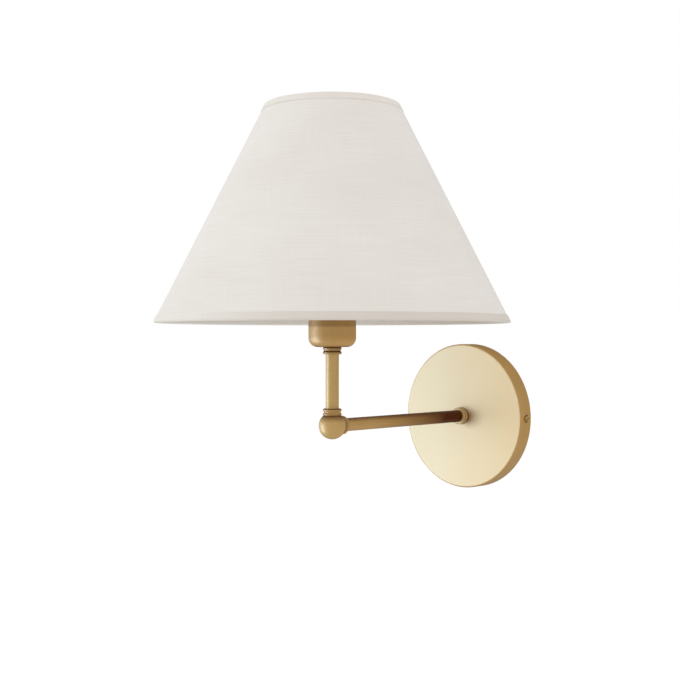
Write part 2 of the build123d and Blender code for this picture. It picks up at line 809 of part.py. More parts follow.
def spoke(angle, radius, length, mode):
    """A straight round spoke from the seat ring outwards and down."""
    outward = Vector(cos(radians(angle)), sin(radians(angle)), 0)
    start = Vector(0, stem_y, spoke_start[1]) + outward * spoke_start[0]
    direction = outward * spoke_run + Vector(0, 0, -spoke_fall)
    with BuildSketch(Plane(start, z_dir=direction)) as end:
        Circle(radius)
    extrude(end.sketch, amount=length, mode=mode)


with BuildPart() as shade_seat_ring:
    with BuildSketch(stem_level(seat_ring_bottom)):
        Circle(seat_ring_radius)
        Circle(thread_radius + seat_ring_hole_gap, mode=Mode.SUBTRACT)
    extrude(amount=seat_ring_sheet)
shade_seat_ring.part.label = "shade_seat_ring"
export_step(shade_seat_ring.part, "parts/shade_seat_ring.step")

with BuildPart() as shade_spokes:
    for angle in spoke_angles:
        spoke(angle, spoke_diameter / 2, spoke_length, Mode.ADD)
shade_spokes.part.label = "shade_spokes"
export_step(shade_spokes.part, "parts/shade_spokes.step")

# Hems folded over the edges and round the wires
hem_middle = hem_thickness / 2
bottom_fold_r = bottom_wire_r - edge_wire_radius - layer_gap - hem_middle
top_fold_r = top_wire_r - edge_wire_radius - layer_gap - hem_middle
fold_end = shade_top - hem_fold_height

with BuildPart() as shade_bottom_hem:
    with BuildSketch(stem_section):
        with BuildLine():
            Polyline(
                (wall_radius(shade_bottom + hem_height, -hem_middle), shade_bottom + hem_height),
                (wall_radius(shade_bottom + hem_middle, -hem_middle), shade_bottom + hem_middle),
                (bottom_fold_r, shade_bottom + hem_middle),
                (bottom_fold_r, shade_bottom + hem_fold_height),
            )
        trace(line_width=hem_thickness)
    revolve(axis=stem_axis)
    for angle in spoke_angles:
        spoke(angle, spoke_diameter / 2 + slip_gap, spoke_length, Mode.SUBTRACT)
shade_bottom_hem.part.label = "shade_bottom_hem"
export_step(shade_bottom_hem.part, "parts/shade_bottom_hem.step")

with BuildPart() as shade_top_hem:
    with BuildSketch(stem_section):
        with BuildLine():
            Polyline(
                (wall_radius(shade_top - top_hem_height, -hem_middle), shade_top - top_hem_height),
                (wall_radius(shade_top - hem_middle, -hem_middle), shade_top - hem_middle),
                (top_fold_r, shade_top - hem_middle),
                (top_fold_r, top_wire_z - edge_wire_radius),
                (wall_radius(fold_end, wall_depth + layer_gap + hem_middle), fold_end),
            )
        trace(line_width=hem_thickness)
    revolve(axis=stem_axis)
shade_top_hem.part.label = "shade_top_hem"
export_step(shade_top_hem.part, "parts/shade_top_hem.step")

# Lamp: the glass is a sphere that flows into a narrow neck
bulb_radius = bulb_diameter / 2
neck_radius = bulb_neck_diameter / 2
bulb_centre = bulb_length - bulb_radius
flare_rise = bulb_centre - bulb_neck_top
flare_radius = (neck_radius**2 + flare_rise**2 - bulb_radius**2) / (2 * (bulb_radius - neck_radius))
flare_angle = degrees(atan2(flare_rise, neck_radius + flare_radius))
glass_bottom = (bulb_cap_bottom + bulb_neck_top) / 2
glass_foot_z = bulb_tip + glass_bottom
glass_crown_z = bulb_tip + bulb_length


def bulb_outline(inset):
    """The glass's outline from the neck's lower end to the crown, so far inside its face."""
    neck = neck_radius - inset
    neck_top = bulb_tip + bulb_neck_top
    Line((neck, glass_foot_z), (neck, neck_top))
    CenterArc((neck_radius + flare_radius, neck_top), flare_radius + inset, 180, -flare_angle)
    crown_sweep = 90 + flare_angle
    CenterArc((0, bulb_tip + bulb_centre), bulb_radius - inset, -flare_angle, crown_sweep)


with BuildPart() as bulb_glass:
    with BuildSketch(stem_section):
        with BuildLine():
            bulb_outline(0)
            bulb_outline(bulb_glass_wall)
            Line((neck_radius - bulb_glass_wall, glass_foot_z), (neck_radius, glass_foot_z))
            Line((0, glass_crown_z - bulb_glass_wall), (0, glass_crown_z))
        make_face()
    revolve(axis=stem_axis)
bulb_glass.part.label = "bulb_glass"
export_step(bulb_glass.part, "parts/bulb_glass.step")

bulb_cap_radius = bulb_cap_diameter / 2
insulator_bottom = bulb_tip + bulb_contact_height
insulator_foot = bulb_contact_diameter / 2 + bulb_contact_height
cap_bottom = bulb_tip + bulb_cap_bottom

with BuildPart() as bulb_cap:
    with BuildSketch(stem_section):
        ring_section(bulb_cap_radius - bulb_cap_wall, bulb_cap_radius, cap_bottom, bulb_tip + bulb_cap_top)
    revolve(axis=stem_axis)
bulb_cap.part.label = "bulb_cap"
export_step(bulb_cap.part, "parts/bulb_cap.step")

with BuildPart() as bulb_insulator:
    with BuildSketch(stem_section):
        with BuildLine():
            Polyline(
                (0, insulator_bottom),
                (insulator_foot, insulator_bottom),
                (bulb_cap_radius - bulb_cap_wall, cap_bottom),
                (bulb_cap_radius - bulb_cap_wall - slip_gap, cap_bottom),
                (bulb_cap_radius - bulb_cap_wall - slip_gap, cap_bottom + bulb_contact_height),
                (0, cap_bottom + bulb_contact_height),
                close=True,
            )
        make_face()
    revolve(axis=stem_axis)
bulb_insulator.part.label = "bulb_insulator"
export_step(bulb_insulator.part, "parts/bulb_insulator.step")

with BuildPart() as bulb_contact:
    with BuildSketch(stem_level(bulb_tip)):
        Circle(bulb_contact_diameter / 2)
    extrude(amount=bulb_contact_height)
    fillet(bulb_contact.faces().sort_by(Axis.Z)[0].edges(), bulb_contact_height / 2)
bulb_contact.part.label = "bulb_contact"
export_step(bulb_contact.part, "parts/bulb_contact.step")

# Inner wires, from the terminal block through the arm, the ball and the stem
wire_end_z = -block_drop + slip_gap
block_top = -block_drop + block_width / 2
above_block = block_top + wire_diameter
pipe_mouth_y = -(arm_pipe_start - wire_pipe_lead)
stem_pipe_top = holder_floor_top
terminal_entry = core_bottom - wire_diameter / 2
terminal_end = terminal_screw_z + wire_past_screw


def wire(route, bends):
    """An insulated wire along a route of straight runs and arcs."""
    with BuildLine() as path:
        FilletPolyline(*route, radius=bends)
    with BuildSketch(Plane(path.line @ 0, z_dir=path.line % 0)) as end:
        Circle(wire_diameter / 2)
    sweep(end.sketch, path=path.line)


lamp_wires = {"wire_neutral": (-1, pole_places[0]), "wire_live": (1, pole_places[1])}
for wire_name, (side, pole_x) in lamp_wires.items():
    beside = side * wire_spread
    with BuildPart() as lamp_wire:
        wire(
            [
                (pole_x, insert_y, wire_end_z),
                (pole_x, insert_y, above_block),
                (beside, pipe_mouth_y, 0),
                (beside, stem_y, 0),
                (beside, stem_y, stem_pipe_top + wire_diameter / 2),
                (side * terminal_offset, stem_y, terminal_entry),
                (side * terminal_offset, stem_y, terminal_end),
            ],
            [wire_easy_bend, wire_mouth_bend, wire_bend, wire_bend, wire_bend / 2],
        )
    lamp_wire.part.label = wire_name
    export_step(lamp_wire.part, f"parts/{wire_name}.step")

with BuildPart() as wire_earth:
    wire(
        [
            (earth_x, barrel_y, barrel_top - earth_tag_sheet - slip_gap),
            (earth_x, barrel_y, barrel_top - earth_barrel_length - wire_tag_lead),
            (pole_places[2], insert_y, above_block),
            (pole_places[2], insert_y, wire_end_z),
        ],
        [wire_bend / 2, wire_bend / 2],
    )
wire_earth.part.label = "wire_earth"
export_step(wire_earth.part, "parts/wire_earth.step")
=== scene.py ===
import json
from math import atan2, cos, hypot, pi, radians, sin

import bmesh
import bpy
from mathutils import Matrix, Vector


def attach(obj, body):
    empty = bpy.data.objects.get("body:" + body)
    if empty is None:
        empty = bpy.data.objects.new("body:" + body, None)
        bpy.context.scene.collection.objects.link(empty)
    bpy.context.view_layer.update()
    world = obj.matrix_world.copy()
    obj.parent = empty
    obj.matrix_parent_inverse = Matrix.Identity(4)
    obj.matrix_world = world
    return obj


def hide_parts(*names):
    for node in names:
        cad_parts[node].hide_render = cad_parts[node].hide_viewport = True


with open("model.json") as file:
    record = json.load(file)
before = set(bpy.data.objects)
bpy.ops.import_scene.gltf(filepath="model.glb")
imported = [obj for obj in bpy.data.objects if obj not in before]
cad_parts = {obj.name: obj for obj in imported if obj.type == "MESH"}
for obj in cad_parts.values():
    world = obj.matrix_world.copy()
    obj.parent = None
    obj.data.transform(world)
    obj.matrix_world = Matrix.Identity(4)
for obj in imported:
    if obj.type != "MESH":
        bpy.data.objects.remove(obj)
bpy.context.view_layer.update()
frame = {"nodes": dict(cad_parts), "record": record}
nodes = frame["nodes"]
scene = bpy.context.scene
print("Frame loaded with", len(nodes), "CAD nodes")

# Metres throughout. The wall is at Y = 0, the room is towards -Y, and the stem stands at stemY.
stemY = -0.1965
white = (1.0, 1.0, 1.0, 1.0)


# Shader tools
class Value:
    # One output of a node. Plain arithmetic on it adds Math nodes.
    def __init__(self, paint, socket):
        self.paint = paint
        self.socket = socket

    def maths(self, operation, *others):
        return self.paint.maths(operation, self, *others)

    def __add__(self, other):
        return self.maths("ADD", other)

    def __radd__(self, other):
        return self.maths("ADD", other)

    def __sub__(self, other):
        return self.maths("SUBTRACT", other)

    def __rsub__(self, other):
        return self.paint.maths("SUBTRACT", other, self)

    def __mul__(self, other):
        return self.maths("MULTIPLY", other)

    def __rmul__(self, other):
        return self.maths("MULTIPLY", other)

    def __truediv__(self, other):
        return self.maths("DIVIDE", other)

    def __pow__(self, other):
        return self.maths("POWER", other)

    def __gt__(self, other):
        return self.maths("GREATER_THAN", other)


class Paint:
    # A material or world being painted
    def __init__(self, owner):
        self.owner = owner
        owner.use_nodes = True
        self.tree = owner.node_tree
        self.tree.nodes.clear()

    def add(self, kind, settings=None, values=None, output=0):
        made = self.tree.nodes.new(kind)
        for name, setting in (settings or {}).items():
            setattr(made, name, setting)
        for name, value in (values or {}).items():
            if isinstance(value, Value):
                self.tree.links.new(value.socket, made.inputs[name])
            else:
                made.inputs[name].default_value = value
        return Value(self, made.outputs[output]) if made.outputs else made

    def maths(self, operation, *terms):
        return self.add("ShaderNodeMath", {"operation": operation}, dict(enumerate(terms)))

    def place(self):
        return self.add("ShaderNodeTexCoord", output="Object")

    def split(self, vector):
        outputs = self.add("ShaderNodeSeparateXYZ", values={0: vector}).socket.node.outputs
        return [Value(self, outputs[axis]) for axis in range(3)]

    def join(self, x=0.0, y=0.0, z=0.0):
        return self.add("ShaderNodeCombineXYZ", values={0: x, 1: y, 2: z})

    def noise(self, vector, scale=1.0, detail=2.0, roughness=0.5):
        values = {"Vector": vector, "Scale": scale, "Detail": detail, "Roughness": roughness}
        return self.add("ShaderNodeTexNoise", values=values)

    def mix(self, factor, first, second, blend="MIX"):
        settings = {"data_type": "RGBA", "blend_type": blend}
        return self.add("ShaderNodeMix", settings, {0: factor, 6: first, 7: second}, 2)

    def stretch(self, value, low, high, newLow=0.0, newHigh=1.0):
        return self.add(
            "ShaderNodeMapRange", values={0: value, 1: low, 2: high, 3: newLow, 4: newHigh}
        )

    def ramp(self, factor, stops):
        # stops are places from 0 to 1 in rising order, each with its colour
        made = self.add("ShaderNodeValToRGB", values={"Fac": factor})
        elements = made.socket.node.color_ramp.elements
        for place, colour in stops[2:]:
            elements.new(place)
        for element, (place, colour) in zip(elements, stops):
            element.position = place
            element.color = colour
        return made

    def bump(self, height, distance):
        return self.add("ShaderNodeBump", values={"Height": height, "Distance": distance})

    def rays(self):
        # 1 where this is seen, directly or in metal or through glass, and 0 where it only lights
        outputs = self.add("ShaderNodeLightPath").socket.node.outputs
        kinds = ("Is Camera Ray", "Is Glossy Ray", "Is Transmission Ray")
        camera, glossy, through = [Value(self, outputs[kind]) for kind in kinds]
        return (camera + glossy + through).maths("MINIMUM", 1.0)

    def surface(self, **sockets):
        values = {name.replace("_", " "): value for name, value in sockets.items()}
        shader = self.add("ShaderNodeBsdfPrincipled", values=values)
        self.add("ShaderNodeOutputMaterial", values={"Surface": shader})
        return self.owner


def newPaint(name):
    return Paint(bpy.data.materials.new(name))


def rgb(red, green, blue):
    # The linear colour of an sRGB one, from 0 to 255
    def linear(level):
        level = level / 255
        return level / 12.92 if level <= 0.04045 else ((level + 0.055) / 1.055) ** 2.4

    return (linear(red), linear(green), linear(blue), 1.0)


def tinted(colour, factor):
    return tuple(min(1.0, channel * factor) for channel in colour[:3]) + (1.0,)


# Brass
brassFinish = {
    "colour": rgb(205, 164, 85),
    # deep is a darker copy of the brass colour: painted shade for the pieces that show darker
    "deep": rgb(198, 151, 70),
    "patina": rgb(78, 30, 0),  # painted shade: crevices, contact shadows and the arm darkening towards the wall
    "metallic": 0.12,
    "specular": 0.15,
    "roughness": 0.47,
    "coatRoughness": 0.42,
    "coatIor": 1.9,
    "grainPitch": 0.00035,
    "grainTurn": 1.3,
    "grainDepth": 0.0000004,
    "grainRoughness": 0.06,
    "cloudScale": 38.0,
    "cloudLevels": (0.3, 0.7),
    "cloudTints": (0.95, 1.04),
    "markScale": 160.0,
    "markLevels": (0.56, 0.72),
    "markTint": 0.75,
    "markShare": 0.08,
    "markRoughness": 0.05,
}
# The plate's face: its pale colour is partly a paler brushed finish and partly a painted
# reflection of the key light, which fades towards +X
plateFace = {
    "colour": rgb(233, 219, 189),
    "fadedReflection": rgb(232, 208, 165),
    "reflectionFadeSpan": (-0.03, 0.06),  # along X, where the painted reflection fades
    "cloudShare": 0.12,
    "roughness": 0.57,
    "edge": (-0.01599, -0.01572),  # along Y; the face ends where the edge round starts
    "rimCoat": 0.25,
    "seat": (0.0077, 0.0088),  # radius of the painted contact shadow round the collar
    "shadowWedge": rgb(132, 84, 34),  # painted shadow and dark reflection beside the collar
    "wedgeSlope": 0.12,
    "wedgeHalfHeight": (0.003, 0.012),
    "wedgeStart": (0.002, 0.007),  # along X
    "wedgeReach": (0.0075, 0.028),  # radius
    "wedgePower": 1.7,
}
bandCore = 0.3  # share of a band's half width that is darkest
# Painted shade on the brass: dark crevices and contact shadows, the arm's top and the cup under
# the shade, and the arm near the wall
paintedShade = {
    # bands: middle along the piece's axis, half width, share of unshaded colour at the middle
    # fades: what they follow, its value at the start and end, share of unshaded colour at both
    "arm_tube": {
        "fades": [("along", -0.150, -0.047, 1.0, 0.0), ("height", 0.0020, 0.0048, 1.0, 0.3)],
    },
    "wall_collar": {"bands": [(-0.0160, 0.0010, 0.0), (-0.0191, 0.0007, 0.3)]},
    "arm_elbow_collar": {
        "bands": [(stemY + 0.0074, 0.0010, 0.1), (stemY + 0.0105, 0.0007, 0.35)],
    },
    "elbow_ball": {
        "fades": [("along", 0.0030, 0.0086, 1.0, 0.18), ("behind", 0.0040, 0.0076, 1.0, 0.22)],
    },
    "stem_elbow_collar": {
        "bands": [(0.0083, 0.0011, 0.0), (0.0148, 0.0011, 0.15)],
        "fades": [("along", 0.0100, 0.0116, 0.75, 1.0)],
    },
    "cup_collar": {"bands": [(0.0681, 0.0014, 0.0), (0.0640, 0.0010, 0.15)]},
    "holder_cup": {
        "fades": [
            ("along", 0.0725, 0.0785, 1.0, 0.82),
            ("along", 0.0845, 0.0862, 1.0, 0.6),
            ("radius", 0.0125, 0.0180, 0.08, 1.0),
        ],
    },
}


def aroundStem(paint):
    # Place along the stem's axis, distance from it and angle about it
    x, y, z = paint.split(paint.place())
    y = y - stemY
    return z, (x * x + y * y) ** 0.5, y.maths("ARCTAN2", x)


def aroundArm(paint):
    x, y, z = paint.split(paint.place())
    return y, (x * x + z * z) ** 0.5, z.maths("ARCTAN2", x)


def unshadedShare(paint, along, radius, places):
    # 1 where the colour is unshaded and 0 under the full painted shade
    x, y, z = paint.split(paint.place())
    followed = {"along": along, "radius": radius, "behind": y - stemY, "height": z}
    share = 1.0
    for middle, halfWidth, darkest in places.get("bands", []):
        away = (along - middle).maths("ABSOLUTE")
        share = share * paint.stretch(away, halfWidth * bandCore, halfWidth, darkest, 1.0)
    for name, start, end, atStart, atEnd in places.get("fades", []):
        share = share * paint.stretch(followed[name], start, end, atStart, atEnd)
    return share


def faceColour(paint, radius, clouds):
    x, y, z = paint.split(paint.place())
    reflectionFade = paint.stretch(x, *plateFace["reflectionFadeSpan"])
    paintedFace = paint.mix(reflectionFade, plateFace["colour"], plateFace["fadedReflection"])
    paintedFace = paint.mix(clouds * plateFace["cloudShare"], paintedFace, plateFace["fadedReflection"])
    # A painted shadow and dark reflection in a wedge to the right of the collar
    above = (z + plateFace["wedgeSlope"] * x).maths("ABSOLUTE")
    shadowWedge = paint.stretch(above, *plateFace["wedgeHalfHeight"], 1.0, 0.0)
    shadowWedge = shadowWedge * paint.stretch(x, *plateFace["wedgeStart"])
    reach = paint.stretch(radius, *plateFace["wedgeReach"], 1.0, 0.0)
    shadowWedge = shadowWedge * reach ** plateFace["wedgePower"]
    paintedFace = paint.mix(shadowWedge, paintedFace, plateFace["shadowWedge"])
    # A painted contact shadow round the collar
    return paint.mix(paint.stretch(radius, *plateFace["seat"]), brassFinish["patina"], paintedFace)


def brass(name, around, tone=1.0, hue="colour", shadeMarks=None, face=False):
    paint = newPaint(name)
    along, radius, angle = around(paint)
    pitch = brassFinish["grainPitch"]
    grainPlace = paint.join(along / pitch, radius / pitch, angle * brassFinish["grainTurn"])
    grain = paint.noise(grainPlace, detail=3.0, roughness=0.6)
    clouds = paint.noise(paint.place(), brassFinish["cloudScale"], detail=4.0, roughness=0.55)
    marks = paint.noise(paint.place(), brassFinish["markScale"], detail=5.0, roughness=0.7)
    marks = paint.stretch(marks, *brassFinish["markLevels"])
    base = tinted(brassFinish[hue], tone)
    darker, lighter = [tinted(base, tint) for tint in brassFinish["cloudTints"]]
    colour = paint.mix(paint.stretch(clouds, *brassFinish["cloudLevels"]), darker, lighter)
    marked = tinted(base, brassFinish["markTint"])
    colour = paint.mix(marks * brassFinish["markShare"], colour, marked)
    roughness = brassFinish["roughness"]
    coat = 1.0
    # Painted shade darkens the colour and thins the coat, which takes the highlight out of the
    # crevices too
    if shadeMarks:
        coat = unshadedShare(paint, along, radius, paintedShade[shadeMarks])
        colour = paint.mix(coat, brassFinish["patina"], colour)
    if face:
        roughness = plateFace["roughness"]
        onFace = paint.stretch(along, *plateFace["edge"])
        colour = paint.mix(onFace, faceColour(paint, radius, clouds), colour)
        coat = plateFace["rimCoat"] + (1 - plateFace["rimCoat"]) * onFace
    roughness = roughness + brassFinish["grainRoughness"] * grain
    return paint.surface(
        Base_Color=colour,
        Metallic=brassFinish["metallic"],
        Specular_IOR_Level=brassFinish["specular"],
        Roughness=roughness + brassFinish["markRoughness"] * marks,
        Coat_Weight=coat,
        Coat_Roughness=brassFinish["coatRoughness"],
        Coat_IOR=brassFinish["coatIor"],
        Normal=paint.bump(grain, brassFinish["grainDepth"]),
    )


# Linen
linenWeave = {
    "light": rgb(237, 233, 228),
    "dark": rgb(225, 218, 210),
    "pitch": 0.78,  # millimetres, like the scales, which are per millimetre
    "wanderScale": 0.05,
    "warpWander": 1.2,
    "weftWander": 1.6,
    "slubAlong": 0.022,
    "slubAcross": 0.75,
    "slubLevels": (0.28, 0.72),
    "weftSlub": 0.70,
    "weftSeed": 3.0,
    "warpSlub": 0.30,
    "warpSeed": 9.0,
    "patchScales": (0.012, 0.02),
    "patchSeed": 5.0,
    "patchLevels": (0.3, 0.7),
    "slubShade": 0.52,
    "weaveShade": 0.22,
    "patchShade": 0.26,
    "slubHeight": 0.75,
    "weaveHeight": 0.55,
    "depth": 0.00008,  # metres
    "roughness": 0.92,
    "specular": 0.25,
    "sheen": 0.12,
    "sheenRoughness": 0.5,
}
shadedSide = {
    "turn": radians(20),  # the side where the hems are painted darker as shade, from +X towards +Y
    "span": (-0.055, 0.065),
    "bottomHem": (0.86, 0.83, 0.79, 1.0),
    "topHem": (1.0, 0.98, 0.96, 1.0),
}


def linen(name, side=None):
    # side is a painted shade: the tint multiplied into the cloth towards the hems' shaded side
    paint = newPaint(name)
    u, v, _ = paint.split(paint.add("ShaderNodeUVMap", {"uv_map": "cloth"}))
    u, v = u * 1000, v * 1000  # in millimetres
    wanderScale = linenWeave["wanderScale"]
    wander = paint.noise(paint.join(u * wanderScale, v * wanderScale))
    perThread = pi / linenWeave["pitch"]
    warp = ((u + linenWeave["warpWander"] * wander) * perThread).maths("SINE")
    weft = ((v + linenWeave["weftWander"] * wander) * perThread).maths("SINE")
    over = (warp * weft) > 0.0
    weave = over * warp.maths("ABSOLUTE") + (1 - over) * weft.maths("ABSOLUTE")
    thin, wide = linenWeave["slubAcross"], linenWeave["slubAlong"]
    weftSlub = paint.noise(paint.join(u * wide, v * thin, linenWeave["weftSeed"]))
    warpSlub = paint.noise(paint.join(u * thin, v * wide, linenWeave["warpSeed"]))
    weftSlub = paint.stretch(weftSlub, *linenWeave["slubLevels"]) * linenWeave["weftSlub"]
    warpSlub = paint.stretch(warpSlub, *linenWeave["slubLevels"]) * linenWeave["warpSlub"]
    slub = weftSlub + warpSlub
    uScale, vScale = linenWeave["patchScales"]
    patches = paint.noise(paint.join(u * uScale, v * vScale, linenWeave["patchSeed"]))
    patches = paint.stretch(patches, *linenWeave["patchLevels"])
    shade = slub * linenWeave["slubShade"] + weave * linenWeave["weaveShade"]
    shade = shade + patches * linenWeave["patchShade"]
    colour = paint.mix(shade, linenWeave["dark"], linenWeave["light"])
    if side:
        x, y, _ = paint.split(paint.place())
        turned = x * cos(shadedSide["turn"]) + (y - stemY) * sin(shadedSide["turn"])
        colour = paint.mix(paint.stretch(turned, *shadedSide["span"]), colour, side, "MULTIPLY")
    height = weave * linenWeave["weaveHeight"] + slub * linenWeave["slubHeight"]
    return paint.surface(
        Base_Color=colour,
        Roughness=linenWeave["roughness"],
        Specular_IOR_Level=linenWeave["specular"],
        Sheen_Weight=linenWeave["sheen"],
        Sheen_Roughness=linenWeave["sheenRoughness"],
        Normal=paint.bump(height, linenWeave["depth"]),
    )


# Mouldings, plating, glass and wires
mouldedFinish = {
    "peelScale": 900.0,
    "peelDepth": 0.00002,
    "peelRoughness": 0.08,
    "cloudScale": 60.0,
    "speckle": 0.03,
}
platedFinish = {
    "metallic": 0.55,
    "grainScale": 420.0,
    "grainDepth": 0.00001,
    "grainRoughness": 0.12,
    "cloudScale": 90.0,
}
opalFinish = {
    "cloudScale": 25.0,
    "darkest": 0.97,
    "roughness": 0.16,
    "cloudRoughness": 0.05,
    "subsurface": 0.4,
    "subsurfaceRadius": (0.004, 0.0035, 0.003),
    "coat": 0.6,
    "coatRoughness": 0.06,
}
wireFinish = {
    "grainScale": 700.0,
    "grainDepth": 0.00001,
    "darkest": 0.9,
    "roughness": 0.38,
    "grainRoughness": 0.1,
    "stripeRate": 900,  # radians per metre
    "stripeLevel": 0.2,
}
cloudLevels = (0.3, 0.7)


def moulded(name, colour, roughness, speckle=mouldedFinish["speckle"]):
    # Moulded plastic or ceramic, with a faint orange peel
    paint = newPaint(name)
    peel = paint.noise(paint.place(), mouldedFinish["peelScale"])
    cloud = paint.noise(paint.place(), mouldedFinish["cloudScale"], detail=3.0)
    shade = paint.mix(paint.stretch(cloud, *cloudLevels), tinted(colour, 1 - speckle), colour)
    return paint.surface(
        Base_Color=shade,
        Roughness=roughness + mouldedFinish["peelRoughness"] * peel,
        Normal=paint.bump(peel, mouldedFinish["peelDepth"]),
    )


def plated(name, colour, roughness, mottle):
    # Zinc, nickel or tin plating with a cloudy grain
    paint = newPaint(name)
    fine = paint.noise(paint.place(), platedFinish["grainScale"], detail=4.0, roughness=0.6)
    cloud = paint.noise(paint.place(), platedFinish["cloudScale"], detail=3.0)
    shade = paint.mix(paint.stretch(cloud, *cloudLevels), tinted(colour, 1 - mottle), colour)
    return paint.surface(
        Base_Color=shade,
        Metallic=platedFinish["metallic"],
        Roughness=roughness + platedFinish["grainRoughness"] * fine,
        Normal=paint.bump(fine, platedFinish["grainDepth"]),
    )


def opal(name, colour):
    paint = newPaint(name)
    cloud = paint.noise(paint.place(), opalFinish["cloudScale"])
    return paint.surface(
        Base_Color=paint.mix(cloud, tinted(colour, opalFinish["darkest"]), colour),
        Roughness=opalFinish["roughness"] + opalFinish["cloudRoughness"] * cloud,
        Subsurface_Weight=opalFinish["subsurface"],
        Subsurface_Radius=opalFinish["subsurfaceRadius"],
        Coat_Weight=opalFinish["coat"],
        Coat_Roughness=opalFinish["coatRoughness"],
    )


def insulation(name, colour, stripe=None):
    # PVC wire insulation; earth wire has a yellow stripe
    paint = newPaint(name)
    fine = paint.noise(paint.place(), wireFinish["grainScale"])
    shade = paint.mix(fine, tinted(colour, wireFinish["darkest"]), colour)
    if stripe:
        wave = (paint.split(paint.place())[0] * wireFinish["stripeRate"]).maths("SINE")
        shade = paint.mix(wave > wireFinish["stripeLevel"], shade, stripe)
    return paint.surface(
        Base_Color=shade,
        Roughness=wireFinish["roughness"] + wireFinish["grainRoughness"] * fine,
        Normal=paint.bump(fine, wireFinish["grainDepth"]),
    )


slotFinishes = {
    "satin_brass": brass("satinBrassOnStem", aroundStem),
    "bracket_steel": plated("bracketSteel", rgb(186, 188, 186), 0.37, 0.18),
    "zinc_steel": plated("zincSteel", rgb(196, 196, 190), 0.27, 0.12),
    # The screws' lower tone is painted shade for their recesses
    "screw_brass": brass("screwBrass", aroundArm, 0.8),
    "contact_brass": plated("contactBrass", rgb(214, 182, 116), 0.21, 0.1),
    "earth_tin": plated("earthTin", rgb(206, 206, 202), 0.25, 0.08),
    "block_plastic": moulded("blockPlastic", rgb(232, 230, 220), 0.38),
    "holder_white": moulded("holderWhite", rgb(238, 236, 229), 0.26),
    "ring_white": moulded("ringWhite", rgb(238, 236, 229), 0.26),
    "shade_linen": linen("cadLinen"),
    "shade_lining": moulded("liningWhite", rgb(240, 236, 228), 0.55, 0.02),
    "frame_white": moulded("frameWhite", rgb(240, 239, 234), 0.32, 0.02),
    "opal_glass": opal("opalGlass", rgb(246, 244, 238)),
    "bulb_nickel": plated("bulbNickel", rgb(205, 202, 194), 0.15, 0.08),
    "bulb_black": moulded("bulbBlack", rgb(22, 22, 24), 0.15),
    "bulb_solder": plated("bulbSolder", rgb(178, 178, 174), 0.35, 0.2),
    "wire_brown": insulation("wireBrown", rgb(104, 62, 36)),
    "wire_blue": insulation("wireBlue", rgb(44, 92, 160)),
    "wire_green": insulation("wireGreen", rgb(70, 140, 62), rgb(222, 206, 60)),
}
# Brass pieces with a face or painted shade of their own; the tones and the deep hue make lit and
# shaded copies of one brass, as painted light and shade
ownBrass = {"backplate": brass("plateBrass", aroundArm, 0.96, "deep", face=True)}
for node, name, around, tone, hue in (
    ("arm_tube", "armBrass", aroundArm, 0.98, "deep"),
    ("wall_collar", "wallCollarBrass", aroundArm, 0.8, "colour"),
    ("arm_elbow_collar", "armCollarBrass", aroundArm, 0.9, "deep"),
    ("stem_elbow_collar", "ballCollarBrass", aroundStem, 0.9, "deep"),
    ("cup_collar", "cupCollarBrass", aroundStem, 0.8, "deep"),
    ("elbow_ball", "ballBrass", aroundStem, 1.0, "colour"),
    ("holder_cup", "cupBrass", aroundStem, 1.09, "deep"),
):
    ownBrass[node] = brass(name, around, tone, hue, shadeMarks=node)


def dress(piece, material):
    piece.data.materials.clear()
    piece.data.materials.append(material)


for part in frame["record"]["subparts"]:
    material = ownBrass.get(part["node"], slotFinishes[part["material_slot"]])
    for slot in nodes[part["node"]].material_slots:
        slot.material = material
print("CAD nodes painted")


# Modelling tools
creaseAngle = radians(40)  # sharper edges stay sharp under smooth shading
mergeDistance = 0.000002


def deselectAll():
    if bpy.context.object and bpy.context.object.mode != "OBJECT":
        bpy.ops.object.mode_set(mode="OBJECT")
    bpy.ops.object.select_all(action="DESELECT")


def select(piece):
    deselectAll()
    piece.select_set(True)
    bpy.context.view_layer.objects.active = piece


def named(name):
    piece = bpy.context.object
    piece.name = name
    piece.data.name = name
    return piece


def pick(kind, test):
    # Selects the edges or faces of the mesh in edit mode that pass the test
    bpy.ops.mesh.select_mode(type={"edges": "EDGE", "faces": "FACE"}[kind])
    bpy.ops.mesh.select_all(action="DESELECT")
    mesh = bmesh.from_edit_mesh(bpy.context.object.data)
    for element in getattr(mesh, kind):
        if test(element):
            element.select_set(True)
    bmesh.update_edit_mesh(bpy.context.object.data)


def doneEditing():
    bpy.ops.object.mode_set(mode="OBJECT")
    bpy.ops.object.transform_apply(location=True, rotation=True, scale=True)


def smoothed(piece):
    select(piece)
    bpy.ops.object.shade_smooth_by_angle(angle=creaseAngle)


def thickened(piece, thickness):
    select(piece)
    modifier = piece.modifiers.new("Solidify", "SOLIDIFY")
    modifier.thickness = thickness
    modifier.offset = 0
    bpy.ops.object.modifier_apply(modifier=modifier.name)
    smoothed(piece)


